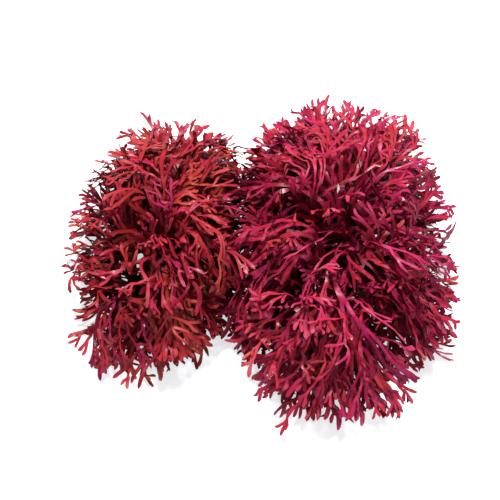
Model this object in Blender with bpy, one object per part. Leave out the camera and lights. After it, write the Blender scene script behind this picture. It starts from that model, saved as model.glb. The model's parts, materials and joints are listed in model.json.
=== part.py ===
# Gracilaria seaweed: one tangled clump with two lobes, lying on a flat surface.
# Each thallus is a small flat-bottomed holdfast with its forked ribbon fronds fused to it.
# The fronds of neighbouring thalli are bent clear of each other where they interlace.
import math
import random

import bpy
from mathutils import Quaternion, Vector
from mathutils.bvhtree import BVHTree

MM = 0.001

# Each lobe's outer surface is half of an egg: centre in plan, half sizes and height (mm),
# its slant sideways towards the back, and how many fronds reach the surface and fill the inside.
# The waist between the lobes has no thalli of its own: fronds of both lobes reach over to it.
LOBES = {
    "left": {
        "x": -53,
        "y": 6,
        "half_width": 47,
        "half_depth": 76,
        "height": 50,
        "slant": 0.13,
        "outer": 36,
        "inner": 8,
    },
    "right": {
        "x": 39,
        "y": -3,
        "half_width": 60,
        "half_depth": 93,
        "height": 60,
        "slant": 0.015,
        "outer": 52,
        "inner": 12,
    },
    "waist": {
        "x": -13,
        "y": 1,
        "half_width": 30,
        "half_depth": 67,
        "height": 47,
        "slant": 0.0,
        "outer": 8,
        "inner": 0,
    },
}
PLAN_SQUARENESS = 2.4
SIDE_SQUARENESS = 2.4
# No frond reaches further out than this share of the lobes' sizes
FURTHEST = 1.1
# Fronds on the side that faces this way lie flatter along the surface
COMBED = Vector((0.0, -0.5, 0.866))
# Thalli that stand round each lobe's middle: how many, the first one's azimuth (degrees),
# and how far out they stand, as a share of the lobe's half sizes
RINGS = {"left": (5, 20), "right": (6, -10)}
RING_SHARE = 0.29
# How many of the fronds above this level grow from another thallus than the nearest one
CROSSING_SHARE = 0.35
CROSSING_LEVEL = 0.4
# The inner fronds reach a surface of this share of the lobe's sizes, between these levels
INNER_SHARE = 0.6
INNER_LEVELS = (0.25, 0.95)
# The first surface place, and a power below 1 that gives the rim fewer of them
FIRST_PLACE = 0.3
LEVEL_POWER = 0.85
# Thalli that fill each lobe's top: places in plan, as shares of the half sizes
CROWNS = {"left": [(0.0, 0.05)], "right": [(-0.05, 0.085), (0.05, -0.085)]}
# Fronds that end above this level grow from any of this many thalli nearest to them
TOP_LEVEL = 0.62
TOP_CHOICE = 5

# Ribbon sizes (mm)
THICKNESS = 0.7
STIPE_WIDTH = 2.0
FLARE_WIDTHS = (4.8, 4.2, 3.5, 3.0)
FINGER_WIDTH = 2.35
FORK_FROM = 6.0
# Places of the forks along a fan with 2, 3 or 4 rows of them, as shares of its reach past the stipe
FORKS_AT = ((0.48,), (0.36, 0.62), (0.27, 0.48, 0.7))
# A fan that reaches further than these forks in three rows, and in four; and the least reach
LONG_FANS = (22, 43)
SHORTEST_FAN = 14
# Where a fan's angle is split between two branches, and how far a branch strays from its half
FORK_SPLIT = (0.4, 0.6)
FORK_STRAY = 0.14
# How much of a branch's turn comes early along it
EARLY_TURN = 0.6
# Share of the branches that end before the last fork, and where they and the others end
EARLY_TIPS = 0.45
EARLY_REACH, TIP_REACH = (0.62, 0.9), (0.86, 1.04)
SHORTEST_FINGER, LONG_FINGER, LONGEST_FINGER = 5.5, 12.0, 14.0
SHORTEST_STRETCH = 5.0
# Variation of the widths and of the forks' places, twists (radians) and slopes off the fan's plane
FINGER_WIDTHS, FLARES, FORK_PLACES = (0.85, 1.2), (0.85, 1.15), (0.9, 1.1)
STIPE_TWIST, STRETCH_TWIST, FINGER_TWIST = 0.2, 0.45, 0.55
SLOPE = 0.24
# Of the width: how far a fork's crotch lies past its edges, and how wide a tip is
CROTCH = 0.3
TIP_WIDTH = 0.6
# Where a long finger has a pair of points more
FINGER_MIDDLE = 0.6

# How fronds grow (degrees, and shares of the span or the length): lean is their ends' angle off
# the surface's outward direction, steep their roots' at level 0 and what is added up to level 1
HABITS = {
    "combed": {
        "lean": (60, 92),
        "steep": (46, 34),
        "climb": 0.56,
        "glide": 0.5,
        "roll": 0.3,
        "stipe": (0.3, 0.42),
        "spread": (75, 120),
    },
    "free": {
        "lean": (10, 45),
        "steep": (22, 55),
        "climb": 0.42,
        "glide": 0.36,
        "roll": 0.6,
        "stipe": (0.4, 0.52),
        "spread": (40, 72),
    },
}
STEEP_JITTER = (-8, 10)
COMBED_LEVEL, COMBED_FACING = 0.3, 0.4
# Fronds below this level lie sideways along the rim, those above the other one run on over the top
RIM_LEVEL, RIM_LEAN = 0.15, (10, 40)
ONWARD_LEVEL = 0.8
# Random strays: of a place's azimuth (radians) and level, of an end's heading, reach and twist
AZIMUTH_STRAY, LEVEL_STRAY = 0.12, 0.05
HEADING_STRAY = 0.5
REACH_VARIATION = (0.94, 1.05)
AXIS_TWIST = 0.5

# Holdfast: radius at the ground and on top, height, sides (mm), and its outline's three bulges
HOLDFAST = {"foot": 5.4, "top": 3.4, "height": 3.4, "sides": 9, "bulges": 3, "bulge": 0.08}
ROOT_HEIGHT = 1.6
ROOT_RING = 1.8

# Colours (linear RGB) and roughness of each material slot
COLOURS = {
    "fronds_scarlet": ((0.42, 0.035, 0.03), 0.35),
    "fronds_crimson": ((0.36, 0.018, 0.045), 0.35),
    "fronds_magenta": ((0.33, 0.015, 0.09), 0.35),
}
COAT = 0.3

# Clear way between thalli (mm), tries for each frond, how short the last tries are,
# and how far from its root a frond may touch the others of its thallus (mm)
CLEARANCE = 0.45
TRIES = 60
SHORTEST_SHARE = 0.55
ROOT_ZONE = 13.0
# The random seed, and what each frond's number and the clump's seed are multiplied by for each try
SEED = 41
FROND_SEEDS, CLUMP_SEEDS = 1009, 1000003


def plan_point(lobe, u, v):
    """A place at root height, from shares of the lobe's half sizes."""
    y = lobe["half_depth"] * v
    return Vector((lobe["x"] + lobe["half_width"] * u + lobe["slant"] * y, lobe["y"] + y, ROOT_HEIGHT))


def dome_point(lobe, azimuth, level):
    """A point on the lobe's outer surface: level is 0 at the rim and 1 on top."""
    c, s = math.cos(azimuth), math.sin(azimuth)
    n = PLAN_SQUARENESS
    m = SIDE_SQUARENESS
    reach = (abs(c) ** n + abs(s) ** n) ** (-1 / n) * max(0.0, 1 - level**m) ** (1 / m)
    point = plan_point(lobe, reach * c, reach * s)
    point.z = lobe["height"] * level
    return point


def dome_normal(lobe, point):
    """The outward direction of the lobe's surface at that point."""
    y = point.y - lobe["y"]
    return Vector(
        (
            (point.x - lobe["x"] - lobe["slant"] * y) / lobe["half_width"] ** 2,
            y / lobe["half_depth"] ** 2,
            point.z / lobe["height"] ** 2,
        )
    ).normalized()


def outermost(points):
    """How far out of the lobes any of the points lies: 1 is on their surface."""
    n, m = PLAN_SQUARENESS, SIDE_SQUARENESS
    furthest = 0.0
    for p in points:
        shares = []
        for lobe in LOBES.values():
            y = p.y - lobe["y"]
            u = abs(p.x - lobe["x"] - lobe["slant"] * y) / lobe["half_width"]
            plan = (u**n + abs(y / lobe["half_depth"]) ** n) ** (1 / n)
            shares.append((plan**m + (p.z / lobe["height"]) ** m) ** (1 / m))
        furthest = max(furthest, min(shares))
    return furthest


class Axis:
    """A frond's curved midline from its root to its target, with a side that turns along it."""

    STEPS = 24

    def __init__(self, root, rise, target, arrival, roll, twist):
        a, b = root + rise, target - arrival
        points = []
        for i in range(self.STEPS + 1):
            t = i / self.STEPS
            points.append(
                root * (1 - t) ** 3
                + a * 3 * t * (1 - t) ** 2
                + b * 3 * t * t * (1 - t)
                + target * t**3
            )
        self.points = points
        self.lengths = [0.0]
        for p, q in zip(points, points[1:]):
            self.lengths.append(self.lengths[-1] + (q - p).length)
        self.length = self.lengths[-1]
        tangents = []
        for i in range(len(points)):
            low, high = max(0, i - 1), min(self.STEPS, i + 1)
            tangents.append((points[high] - points[low]).normalized())
        self.tangents = tangents
        side = tangents[0].cross(Vector((0, 0, 1)))
        if side.length < 0.05:
            side = tangents[0].cross(Vector((1, 0, 0)))
        side.normalize()
        side = Quaternion(tangents[0], roll) @ side
        self.sides = [side]
        for i in range(1, len(points)):
            side = tangents[i - 1].rotation_difference(tangents[i]) @ side
            side = Quaternion(tangents[i], twist / self.STEPS) @ side
            side = (side - tangents[i] * side.dot(tangents[i])).normalized()
            self.sides.append(side)

    def at(self, distance):
        """(position, tangent, side) at a distance from the root, running on straight past the end."""
        if distance >= self.length:
            over = distance - self.length
            return self.points[-1] + self.tangents[-1] * over, self.tangents[-1], self.sides[-1]
        i = 0
        while self.lengths[i + 1] < distance:
            i += 1
        part = self.lengths[i + 1] - self.lengths[i]
        f = max(0.0, (distance - self.lengths[i]) / part)
        return (
            self.points[i].lerp(self.points[i + 1], f),
            self.tangents[i].lerp(self.tangents[i + 1], f).normalized(),
            self.sides[i].lerp(self.sides[i + 1], f).normalized(),
        )


class Branch:
    """One stretch of ribbon between forks, in its fan's own polar frame."""

    def __init__(self, parent, start, end, angle, width, twist, slope):
        self.parent, self.start, self.end = parent, start, end
        self.angle, self.width, self.twist = angle, width, twist
        self.lift = (parent.lift if parent else 0.0) + slope * (end - start)
        self.children = []


def grow_fan(rng, reach, levels, spread):
    """A fan of forked branches: the stipe's end forks, and its branches fork again."""
    twist = rng.uniform(-STIPE_TWIST, STIPE_TWIST)
    stipe = Branch(None, 0.0, FORK_FROM, 0.0, FLARE_WIDTHS[0], twist, 0.0)

    def fork(parent, low, high, level):
        middle = low + (high - low) * rng.uniform(*FORK_SPLIT)
        for a, b in ((low, middle), (middle, high)):
            last = level == levels or (level >= 2 and rng.random() < EARLY_TIPS)
            angle = (a + b) / 2 + rng.uniform(-FORK_STRAY, FORK_STRAY) * (b - a)
            if last:
                end = reach * rng.uniform(*(EARLY_REACH if level < levels else TIP_REACH))
                end = min(max(end, parent.end + SHORTEST_FINGER), parent.end + LONGEST_FINGER)
                width = FINGER_WIDTH * rng.uniform(*FINGER_WIDTHS)
                twist = rng.uniform(-FINGER_TWIST, FINGER_TWIST)
            else:
                at = FORK_FROM + (reach - FORK_FROM) * FORKS_AT[levels - 2][level - 1]
                end = max(parent.end + SHORTEST_STRETCH, at * rng.uniform(*FORK_PLACES))
                width = FLARE_WIDTHS[min(level, len(FLARE_WIDTHS) - 1)] * rng.uniform(*FLARES)
                twist = rng.uniform(-STRETCH_TWIST, STRETCH_TWIST)
            slope = rng.uniform(-SLOPE, SLOPE)
            branch = Branch(parent, parent.end, end, angle, width, twist, slope)
            parent.children.append(branch)
            if not last:
                fork(branch, a, b, level + 1)

    fork(stipe, -spread / 2, spread / 2, 1)
    return stipe


class Frond:
    """A fan laid along its axis in space."""

    def __init__(self, axis, fan, stipe_length):
        self.axis, self.fan, self.stipe_length = axis, fan, stipe_length

    def section(self, branch, t, width):
        """(centre, forward, lateral, normal) of the ribbon at share t of a branch, above the ground."""
        turn = t * (1 + EARLY_TURN - EARLY_TURN * t)
        parent = branch.parent
        if parent is None:
            along, across, lift, heading = self.stipe_length * t, 0.0, 0.0, 0.0
            twist = branch.twist * t
        else:
            radius = branch.start + (branch.end - branch.start) * t
            angle = parent.angle + (branch.angle - parent.angle) * turn
            rate = 1 + EARLY_TURN - 2 * EARLY_TURN * t
            turning = (branch.angle - parent.angle) * rate / (branch.end - branch.start)
            along = self.stipe_length - FORK_FROM + radius * math.cos(angle)
            across = radius * math.sin(angle)
            heading = angle + math.atan(radius * turning)
            lift = parent.lift + (branch.lift - parent.lift) * t
            twist = parent.twist + (branch.twist - parent.twist) * t
        position, tangent, side = self.axis.at(along)
        normal = tangent.cross(side)
        centre = position + side * across + normal * lift
        forward = tangent * math.cos(heading) + side * math.sin(heading)
        lateral = side * math.cos(heading) - tangent * math.sin(heading)
        lateral = Quaternion(forward, twist) @ lateral
        normal = lateral.cross(forward)
        lowest = centre.z - abs(lateral.z) * width / 2 - abs(normal.z) * THICKNESS / 2
        if lowest < 0:
            centre.z -= lowest
        return centre, forward, lateral, normal

    def outline(self):
        """The ribbon's outline points with their normals, and its triangles, with few faces."""
        points, normals, triangles = [], [], []

        def add(position, normal):
            low = position.z - abs(normal.z) * THICKNESS / 2
            if low < 0:
                position = position - Vector((0, 0, low))
            points.append(position)
            normals.append(normal)
            return len(points) - 1

        def edge_pair(branch, t, width):
            centre, _, lateral, normal = self.section(branch, t, width)
            return (
                add(centre - lateral * width / 2, normal),
                add(centre + lateral * width / 2, normal),
            )

        def join(first, second):
            triangles.append((first[0], first[1], second[1]))
            triangles.append((first[0], second[1], second[0]))

        def run(branch, first):
            if branch.children:
                last = edge_pair(branch, 1.0, branch.width)
                join(first, last)
                centre, forward, _, normal = self.section(branch, 1.0, branch.width)
                crotch = add(centre + forward * branch.width * CROTCH, normal)
                triangles.append((last[0], last[1], crotch))
                run(branch.children[0], (last[0], crotch))
                run(branch.children[1], (crotch, last[1]))
            else:
                if branch.end - branch.start > LONG_FINGER:
                    middle = edge_pair(branch, FINGER_MIDDLE, branch.width)
                    join(first, middle)
                    first = middle
                join(first, edge_pair(branch, 1.0, branch.width * TIP_WIDTH))

        root = edge_pair(self.fan, 0.0, STIPE_WIDTH)
        half = edge_pair(self.fan, 0.5, STIPE_WIDTH)
        join(root, half)
        run(self.fan, half)
        return points, normals, triangles


def ribbon_mesh(outline, extra=0.0, beyond=None):
    """Vertices and triangles of the closed ribbon, thickened by extra, without what is near beyond."""
    points, normals, triangles = outline
    half = THICKNESS / 2 + extra
    vertices = []
    for p, n in zip(points, normals):
        vertices.append(p + n * half)
        vertices.append(p - n * half)
    if beyond is not None:
        near = {i for i, p in enumerate(points) if (p - beyond).length < ROOT_ZONE}
        triangles = [t for t in triangles if not near.intersection(t)]
    faces, count = [], {}
    for a, b, c in triangles:
        faces.append((2 * a, 2 * b, 2 * c))
        faces.append((2 * a + 1, 2 * c + 1, 2 * b + 1))
        for i, j in ((a, b), (b, c), (c, a)):
            count[(i, j)] = count.get((i, j), 0) + 1
    for i, j in count:
        if (j, i) not in count:
            faces.append((2 * j, 2 * i, 2 * i + 1))
            faces.append((2 * j, 2 * i + 1, 2 * j + 1))
    return vertices, faces


def holdfast_mesh(root):
    """A low flat-bottomed cone of irregular outline."""
    n = HOLDFAST["sides"]
    vertices, faces = [], []
    for radius, z in ((HOLDFAST["foot"], 0.0), (HOLDFAST["top"], HOLDFAST["height"])):
        for i in range(n):
            a = 2 * math.pi * i / n
            r = radius * (1 + HOLDFAST["bulge"] * math.sin(HOLDFAST["bulges"] * a + root.x))
            vertices.append(Vector((root.x + r * math.cos(a), root.y + r * math.sin(a), z)))
    faces.append(tuple(reversed(range(n))))
    faces.append(tuple(range(n, 2 * n)))
    for i in range(n):
        j = (i + 1) % n
        faces.append((i, j, n + j, n + i))
    return vertices, faces


def tree_of(mesh):
    return BVHTree.FromPolygons(mesh[0], mesh[1], all_triangles=True)


def crosses_itself(mesh):
    """True where two of the mesh's triangles that share no corner meet."""
    faces = mesh[1]
    tree = tree_of(mesh)
    return any(i < j and not set(faces[i]) & set(faces[j]) for i, j in tree.overlap(tree))


class Obstacle:
    """A mesh in place, with its search tree and its bounds."""

    def __init__(self, plant, mesh):
        self.plant = plant
        self.tree = BVHTree.FromPolygons(*mesh)
        xs, ys, zs = zip(*mesh[0])
        self.low, self.high = (min(xs), min(ys), min(zs)), (max(xs), max(ys), max(zs))


class Grown(Obstacle):
    """A frond that has found its place. Its free tree leaves out what is near its root."""

    def __init__(self, plant, root, outline):
        super().__init__(plant, ribbon_mesh(outline))
        self.outline = outline
        self.free = tree_of(ribbon_mesh(outline, 0.0, root))


def boxes_meet(a, low, high, gap):
    return all(a.low[i] - gap < high[i] and a.high[i] + gap > low[i] for i in range(3))


def end_direction(rng, lobe, root, target, outward, level, leaning):
    """Which way a frond's end points: off the outward direction, downhill, onward or aside."""
    onward = outward.cross(Vector((0, 0, 1))).cross(outward)
    onward = -onward.normalized() if onward.length > 0.01 else Vector((1, 0, 0))
    if level > ONWARD_LEVEL or not lobe["inner"]:
        onward = target - root
        onward = (onward - outward * onward.dot(outward)).normalized()
    aside = Quaternion(outward, rng.gauss(0, HEADING_STRAY)) @ onward
    lean = rng.uniform(*HABITS["combed" if leaning else "free"]["lean"])
    if level < RIM_LEVEL:
        lean = rng.uniform(*RIM_LEAN)
        aside = Vector((-outward.y, outward.x, 0)) * rng.choice((-1, 1))
    lean = math.radians(lean)
    return (outward * math.cos(lean) + aside * math.sin(lean)).normalized()


def try_frond(rng, lobe, root, azimuth, level, share, shrink):
    """One way that a frond could grow from a root towards its place on the lobe's surface."""
    azimuth += rng.uniform(-AZIMUTH_STRAY, AZIMUTH_STRAY)
    level = min(1.0, max(0.0, level + rng.uniform(-LEVEL_STRAY, LEVEL_STRAY)))
    target = dome_point(lobe, azimuth, level)
    outward = dome_normal(lobe, target)
    target = plan_point(lobe, 0, 0) + (target - plan_point(lobe, 0, 0)) * share
    combed = level > COMBED_LEVEL and outward.dot(COMBED) > COMBED_FACING
    habit = HABITS["combed" if combed else "free"]
    arrival = end_direction(rng, lobe, root, target, outward, level, share < 1 or combed)
    target = root + (target - root) * shrink * rng.uniform(*REACH_VARIATION)
    flat = Vector((target.x - root.x, target.y - root.y, 0))
    if flat.length < 1:
        flat = Vector((math.cos(azimuth), math.sin(azimuth), 0))
    flat.normalize()
    start = root + flat * ROOT_RING
    start.z = ROOT_HEIGHT
    span = (target - start).length
    low, more = habit["steep"]
    steep = math.radians(low + more * level + rng.uniform(*STEEP_JITTER))
    rise = flat * math.cos(steep) + Vector((0, 0, math.sin(steep)))
    roll = rng.gauss(0, habit["roll"])
    twist = rng.uniform(-AXIS_TWIST, AXIS_TWIST)
    climb, glide = rise * (span * habit["climb"]), arrival * (span * habit["glide"])
    axis = Axis(start, climb, target, glide, roll, twist)
    stipe_length = axis.length * rng.uniform(*habit["stipe"])
    reach = max(axis.length - stipe_length, SHORTEST_FAN) + FORK_FROM
    levels = 2 + sum(reach > long for long in LONG_FANS)
    spread = math.radians(rng.uniform(*habit["spread"]))
    return Frond(axis, grow_fan(rng, reach, levels, spread), stipe_length)


def place_frond(plant, root, lobe, place, grown, holdfasts, number):
    """Tries ways to grow until one is clear of every other thallus, and keeps the least tangled."""
    best, fewest = None, None
    for attempt in range(TRIES):
        rng = random.Random(SEED * CLUMP_SEEDS + number * FROND_SEEDS + attempt)
        shrink = 1.0 - (1.0 - SHORTEST_SHARE) * max(0, attempt - TRIES // 2) / (TRIES / 2)
        outline = try_frond(rng, lobe, root, *place, shrink).outline()
        if outermost(outline[0]) > FURTHEST or crosses_itself(ribbon_mesh(outline)):
            continue
        wide = ribbon_mesh(outline, CLEARANCE)
        xs, ys, zs = zip(*wide[0])
        low, high = (min(xs), min(ys), min(zs)), (max(xs), max(ys), max(zs))
        near = [g for g in grown if boxes_meet(g, low, high, CLEARANCE)]
        tree = tree_of(wide)
        if any(g.plant != plant and g.tree.overlap(tree) for g in near + holdfasts):
            continue
        free = tree_of(ribbon_mesh(outline, CLEARANCE, root))
        touches = sum(1 for g in near if g.plant == plant and g.free.overlap(free))
        if fewest is None or touches < fewest:
            best, fewest = Grown(plant, root, outline), touches
        if touches == 0:
            break
    return best


def surface_places(lobe):
    """Evenly spread places for the fronds' ends: azimuth, level and share of the lobe's sizes."""
    turn = math.pi * (3 - math.sqrt(5))
    outer, inner = lobe["outer"], lobe["inner"]
    places = [(i * turn, ((i + FIRST_PLACE) / outer) ** LEVEL_POWER, 1.0) for i in range(outer)]
    low, high = INNER_LEVELS
    for i in range(inner):
        places.append((i * turn + 1, low + (high - low) * (i + 0.5) / inner, INNER_SHARE))
    return places


def thalli_of(side):
    """The thalli of one lobe: name, holdfast in plan, and an empty list for its fronds."""
    lobe = LOBES[side]
    count, first = RINGS[side]
    azimuths = [math.radians(first) + 2 * math.pi * i / count for i in range(count)]
    ring = [(RING_SHARE * math.cos(a), RING_SHARE * math.sin(a)) for a in azimuths]
    named = [(f"{side}_thallus_{i + 1}", plan_point(lobe, *place)) for i, place in enumerate(ring)]
    crowns = enumerate(CROWNS[side])
    named += [(f"{side}_crown_{i + 1}", plan_point(lobe, *place)) for i, place in crowns]
    return [{"name": name, "root": root, "fronds": []} for name, root in named]


def nearest_first(plants, lobe, place):
    """The thalli in order of how near they stand to the way up to a place on the lobe."""
    centre = plan_point(lobe, 0, 0)
    above = dome_point(lobe, place[0], place[1])
    above.z = ROOT_HEIGHT
    near = centre + (above - centre) * (RING_SHARE if lobe["inner"] else 1)
    return sorted(plants, key=lambda plant: (plant["root"] - near).length)


def all_thalli():
    """Every thallus with the places that its fronds reach for, each as (lobe, place)."""
    plants = {side: thalli_of(side) for side in RINGS}
    plants["waist"] = plants["left"] + plants["right"]
    rng = random.Random(SEED)
    for side, lobe in LOBES.items():
        for place in surface_places(lobe):
            order = nearest_first(plants[side], lobe, place)
            crossing = place[1] > CROSSING_LEVEL and rng.random() < CROSSING_SHARE
            if place[1] > TOP_LEVEL:
                pick = rng.randrange(TOP_CHOICE)
            else:
                pick = rng.choice((1, 2)) if crossing else 0
            order[pick]["fronds"].append((lobe, place))
    return plants["waist"]


def grow_all():
    """Grows every frond of every thallus, from the top down, so that each finds room."""
    plants = all_thalli()
    holdfasts = [Obstacle(i, holdfast_mesh(plant["root"])) for i, plant in enumerate(plants)]
    jobs = [
        (-place[1], index, k, lobe, place)
        for index, plant in enumerate(plants)
        for k, (lobe, place) in enumerate(plant["fronds"])
    ]
    jobs.sort(key=lambda job: job[:3])
    grown = []
    for number, (_, index, _, lobe, place) in enumerate(jobs):
        root = plants[index]["root"]
        found = place_frond(index, root, lobe, place, grown, holdfasts, number)
        if found:
            grown.append(found)
        else:
            print("no room for frond", number, "of", plants[index]["name"])
    return plants, grown


def centre_shift(grown):
    """The move that brings the middle of the whole clump's outline in plan to the origin."""
    low = [min(g.low[i] for g in grown) for i in range(2)]
    high = [max(g.high[i] for g in grown) for i in range(2)]
    return Vector((-(low[0] + high[0]) / 2, -(low[1] + high[1]) / 2, 0))


def mesh_object(name, vertices, faces, collection, colour=None):
    mesh = bpy.data.meshes.new(name)
    mesh.from_pydata([v * MM for v in vertices], [], faces)
    mesh.update()
    obj = bpy.data.objects.new(name, mesh)
    collection.objects.link(obj)
    if colour:
        mesh.materials.append(colour)
    return obj


def fuse(obj, others, collection):
    """Joins the fronds to the holdfast by one Boolean union, then removes them."""
    bpy.context.view_layer.update()
    modifier = obj.modifiers.new("Fronds", "BOOLEAN")
    modifier.operation = "UNION"
    modifier.operand_type = "COLLECTION"
    modifier.collection = collection
    modifier.solver = "MANIFOLD"
    bpy.context.view_layer.objects.active = obj
    bpy.ops.object.modifier_apply(modifier=modifier.name)
    for other in others:
        mesh = other.data
        bpy.data.objects.remove(other)
        bpy.data.meshes.remove(mesh)
    bpy.data.collections.remove(collection)


def plant_colour(name):
    """Scarlet on the left lobe, crimson on the right one, and magenta in the right one's middle."""
    if name.startswith("left"):
        return "fronds_scarlet"
    return "fronds_magenta" if "crown" in name else "fronds_crimson"


def material(name, colour, roughness):
    made = bpy.data.materials.new(name)
    made.use_nodes = True
    shader = made.node_tree.nodes["Principled BSDF"]
    shader.inputs["Base Color"].default_value = (*colour, 1)
    shader.inputs["Roughness"].default_value = roughness
    shader.inputs["Coat Weight"].default_value = COAT
    made.diffuse_color = (*colour, 1)
    return made


def clear_scene():
    for obj in list(bpy.data.objects):
        bpy.data.objects.remove(obj)


def build():
    clear_scene()
    home = bpy.data.collections.new("gracilaria_seaweed")
    bpy.context.scene.collection.children.link(home)
    colours = {name: material(name, *look) for name, look in COLOURS.items()}
    plants, grown = grow_all()
    shift = centre_shift(grown)
    for index, plant in enumerate(plants):
        name = plant["name"]
        vertices, faces = holdfast_mesh(plant["root"])
        vertices = [v + shift for v in vertices]
        body = mesh_object(name, vertices, faces, home, colours[plant_colour(name)])
        helpers = bpy.data.collections.new(name + "_fronds")
        bpy.context.scene.collection.children.link(helpers)
        fronds = []
        for g in grown:
            if g.plant == index:
                vertices, faces = ribbon_mesh(g.outline)
                vertices = [v + shift for v in vertices]
                fronds.append(mesh_object("frond", vertices, faces, helpers))
        fuse(body, fronds, helpers)


if __name__ == "__main__":
    build()
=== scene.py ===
import json
import math
import random
from collections import namedtuple

import bpy
import numpy as np
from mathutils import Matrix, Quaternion, Vector
from mathutils.bvhtree import BVHTree

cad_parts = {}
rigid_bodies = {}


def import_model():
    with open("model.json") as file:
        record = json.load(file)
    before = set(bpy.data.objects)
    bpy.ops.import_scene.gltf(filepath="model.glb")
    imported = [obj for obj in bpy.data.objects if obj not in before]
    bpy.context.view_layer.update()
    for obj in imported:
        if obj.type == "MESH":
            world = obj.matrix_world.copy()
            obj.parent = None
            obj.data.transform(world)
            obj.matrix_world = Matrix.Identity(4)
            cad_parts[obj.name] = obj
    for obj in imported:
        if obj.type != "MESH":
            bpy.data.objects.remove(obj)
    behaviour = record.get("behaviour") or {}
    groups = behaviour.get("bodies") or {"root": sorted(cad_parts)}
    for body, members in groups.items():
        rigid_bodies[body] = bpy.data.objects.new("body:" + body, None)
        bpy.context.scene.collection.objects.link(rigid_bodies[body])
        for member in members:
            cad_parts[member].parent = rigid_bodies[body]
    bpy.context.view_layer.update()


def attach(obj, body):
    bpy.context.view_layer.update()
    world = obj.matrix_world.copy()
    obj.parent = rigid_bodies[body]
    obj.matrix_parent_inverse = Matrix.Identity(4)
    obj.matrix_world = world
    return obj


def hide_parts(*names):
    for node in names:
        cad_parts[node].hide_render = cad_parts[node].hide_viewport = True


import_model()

mm = 0.001
golden = math.pi * (3 - math.sqrt(5))
circle = 6.28  # radians that the waves' starts are drawn from

# the clump's two lobes and the waist between them, in mm: outer and inner count the fronds of the
# solids; fill and runners are the finer ones between them, short bushy ones and long ones along the
# surface, as (how many, share of the lobe's sizes, lowest level, highest level)
lobes = {
    "left": {
        "x": -53, "y": 6, "halfWidth": 47, "halfDepth": 76, "height": 50, "slant": 0.13,
        "outer": 36, "inner": 8,
        "fill": (
            (12, 0.97, 0.66, 0.99), (26, 0.88, 0.0, 0.12), (12, 0.84, 0.4, 0.98), (44, 0.78, 0.0, 0.12),
            (38, 0.5, 0.0, 0.15),
        ),
        "runners": (
            (38, 1.0, 0.02, 0.4), (16, 0.98, 0.4, 0.95), (32, 0.93, 0.02, 0.45), (12, 0.88, 0.5, 0.95),
            (26, 0.84, 0.02, 0.4), (16, 0.74, 0.02, 0.4),
        ),
    },
    "right": {
        "x": 39, "y": -3, "halfWidth": 60, "halfDepth": 93, "height": 60, "slant": 0.015,
        "outer": 52, "inner": 12,
        "fill": (
            (16, 0.97, 0.66, 0.99), (40, 0.88, 0.0, 0.12), (16, 0.84, 0.4, 0.98), (70, 0.78, 0.0, 0.12),
            (52, 0.52, 0.0, 0.15), (20, 0.42, 0.2, 1.0),
        ),
        "runners": (
            (58, 1.0, 0.02, 0.4), (26, 0.98, 0.4, 0.95), (50, 0.93, 0.02, 0.45), (22, 0.88, 0.5, 0.95),
            (40, 0.84, 0.02, 0.4), (26, 0.74, 0.02, 0.4),
        ),
    },
    "waist": {
        "x": -13, "y": 1, "halfWidth": 30, "halfDepth": 67, "height": 47, "slant": 0.0,
        "outer": 8, "inner": 0,
        "fill": (
            (20, 0.97, 0.15, 0.99), (24, 0.82, 0.1, 0.98), (36, 0.6, 0.0, 0.8), (30, 0.85, 0.0, 0.1),
            (30, 0.5, 0.0, 0.1),
        ),
        "runners": ((20, 1.0, 0.3, 0.95), (16, 0.9, 0.3, 0.95)),
    },
}
# dark gaps that the finer fronds keep clear of above their floor: ends in plan and radius, in mm
hollows = {
    "cleft": {"from": (-104, -16), "to": (-62, -24), "radius": 6},
    "rear": {"from": (10, 6), "to": (15, 10), "radius": 4},
    "front": {"from": (46, -42), "to": (56, -46), "radius": 5},
    "inner": {"from": (8, -37), "to": (14, -39), "radius": 4},
}
hollowFloor = 24
stand = {
    "squareness": 2.4,  # of the lobes in plan, and of their sides
    "fullness": 2.4,
    "furthest": 1.1,  # share of the lobes' sizes that no frond reaches past, and no finer one
    "furthestFine": 1.05,
    "combed": Vector((0.0, -0.5, 0.866)),  # fronds facing this way lie flatter along the surface
    "combedFacing": 0.4,
    "combedLevel": 0.3,
    "rings": {"left": (5, 20), "right": (6, -10)},  # thalli round the middle, first one's azimuth
    "ringShare": 0.29,
    "crowns": {"left": [(0.0, 0.05)], "right": [(-0.05, 0.085), (0.05, -0.085)]},
    "crossing": 0.35,  # share of the fronds that grow from another thallus than the nearest one
    "crossingLevel": 0.4,
    "topLevel": 0.62,
    "topChoice": 5,
    "firstPlace": 0.3,
    "levelPower": 0.85,
    "innerShare": 0.6,
    "innerBelow": 0.7,  # fronds with a smaller share of the lobe's sizes count as inner ones
    "innerLevels": (0.25, 0.95),
    "rimLevel": 0.15,  # fronds below it lie sideways along the rim
    "rimLean": (10, 40),
    "onwardLevel": 0.8,  # fronds above it run on over the top
    "azimuthStray": 0.12,
    "levelStray": 0.05,
    "headingStray": 0.5,
    "reach": (0.94, 1.05),
    "steepStray": (-8, 10),
    "rootHeight": 1.6,
    "rootRing": 1.8,
}
foot = {"radius": 5.4, "top": 3.4, "height": 3.4, "sides": 9, "bulges": 3, "bulge": 0.08}
habits = {  # how fronds grow: degrees, and shares of the span or the length
    "combed": {
        "lean": (60, 92), "steep": (46, 34), "climb": 0.56, "glide": 0.5, "roll": 0.3, "twist": 0.5,
        "stipe": (0.3, 0.42), "spread": (75, 120),
    },
    "free": {
        "lean": (10, 45), "steep": (22, 55), "climb": 0.42, "glide": 0.36, "roll": 0.6, "twist": 0.5,
        "stipe": (0.4, 0.52), "spread": (40, 72),
    },
}
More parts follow.
